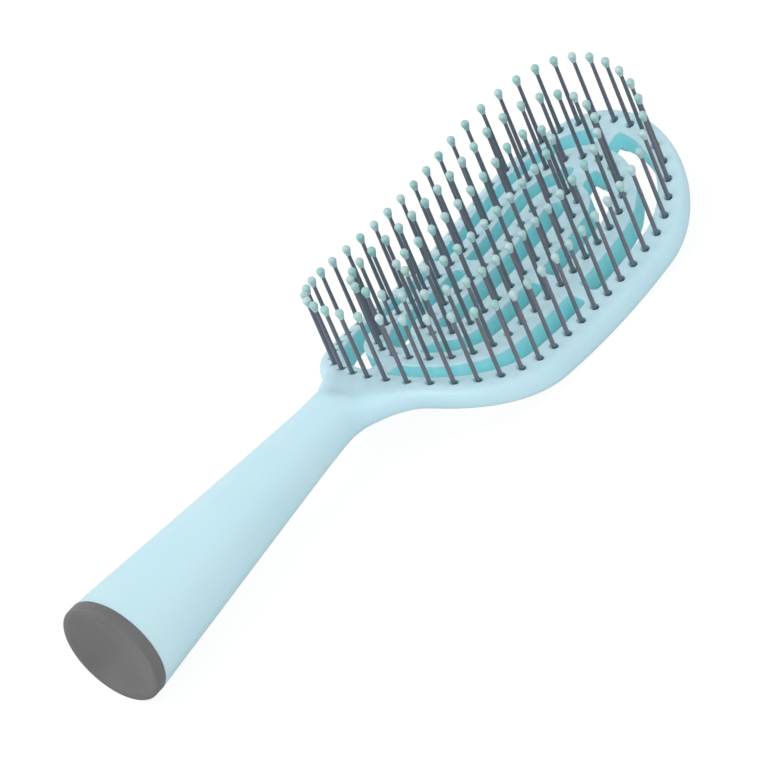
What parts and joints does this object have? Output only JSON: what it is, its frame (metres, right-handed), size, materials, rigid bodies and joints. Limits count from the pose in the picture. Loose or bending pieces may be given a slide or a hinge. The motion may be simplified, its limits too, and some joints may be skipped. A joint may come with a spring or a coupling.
{
  "type": "detangling brush",
  "caption": "Vented detangling hair brush: a tapered handle and an oval slotted head in one piece, rows of upright ball-tipped pins, and a round plug in the handle's end.",
  "frame": {"origin": "middle of the flat ring round the end plug's dished face", "axes": "+X along the handle to the head, +Z the way the pins point, +Y to the left of the handle seen from above"},
  "size_m": [0.2362, 0.0768, 0.046],
  "materials": {
    "frame": "soft satin, pale aqua",
    "plug": "satin grey",
    "pin": "smooth dark grey",
    "tip": "smooth pale mint"
  },
  "bodies": {
    "root": {"brush_frame": "frame", "end_plug": "plug", "outer_pins": "pin", "middle_pins": "pin", "inner_pins": "pin", "outer_tips": "tip", "middle_tips": "tip", "inner_tips": "tip"}
  },
  "joints": []
}
